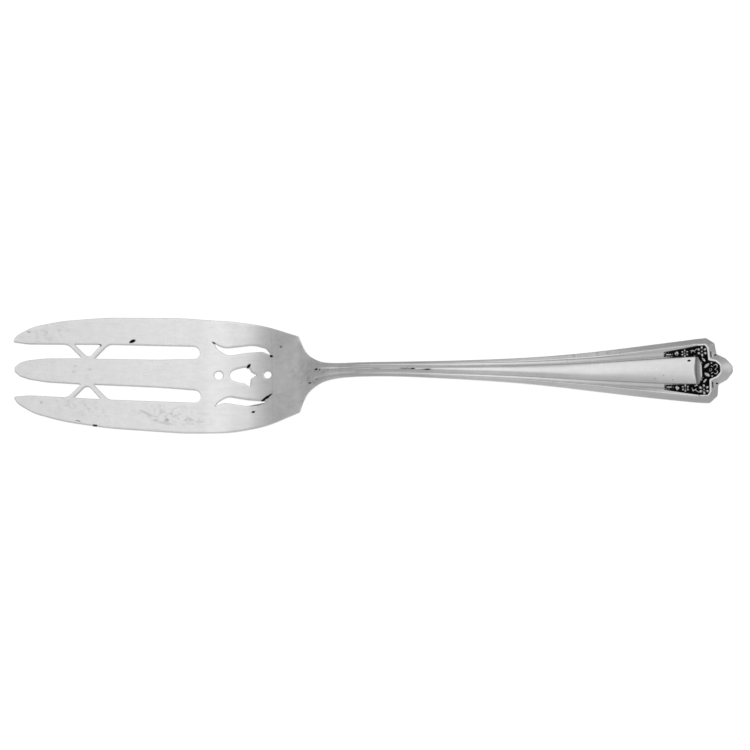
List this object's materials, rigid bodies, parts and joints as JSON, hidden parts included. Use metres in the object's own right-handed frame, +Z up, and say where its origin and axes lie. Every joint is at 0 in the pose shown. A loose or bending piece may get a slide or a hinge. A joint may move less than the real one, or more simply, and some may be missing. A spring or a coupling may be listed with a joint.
{
  "type": "cake serving fork",
  "caption": "One-piece cake serving fork with three joined tines, a pierced spade blade, an arched stem and a moulded handle with sunk ornament.",
  "frame": {"origin": "centre of the fork's bounding box, on the surface that it lies on", "axes": "+X along the fork from the tine tips to the handle end, +Y across it, +Z up out of the upper side"},
  "size_m": [0.2286, 0.037, 0.0197],
  "materials": {
    "silver": "polished"
  },
  "bodies": {
    "root": {"cake_fork": "silver"}
  },
  "joints": []
}
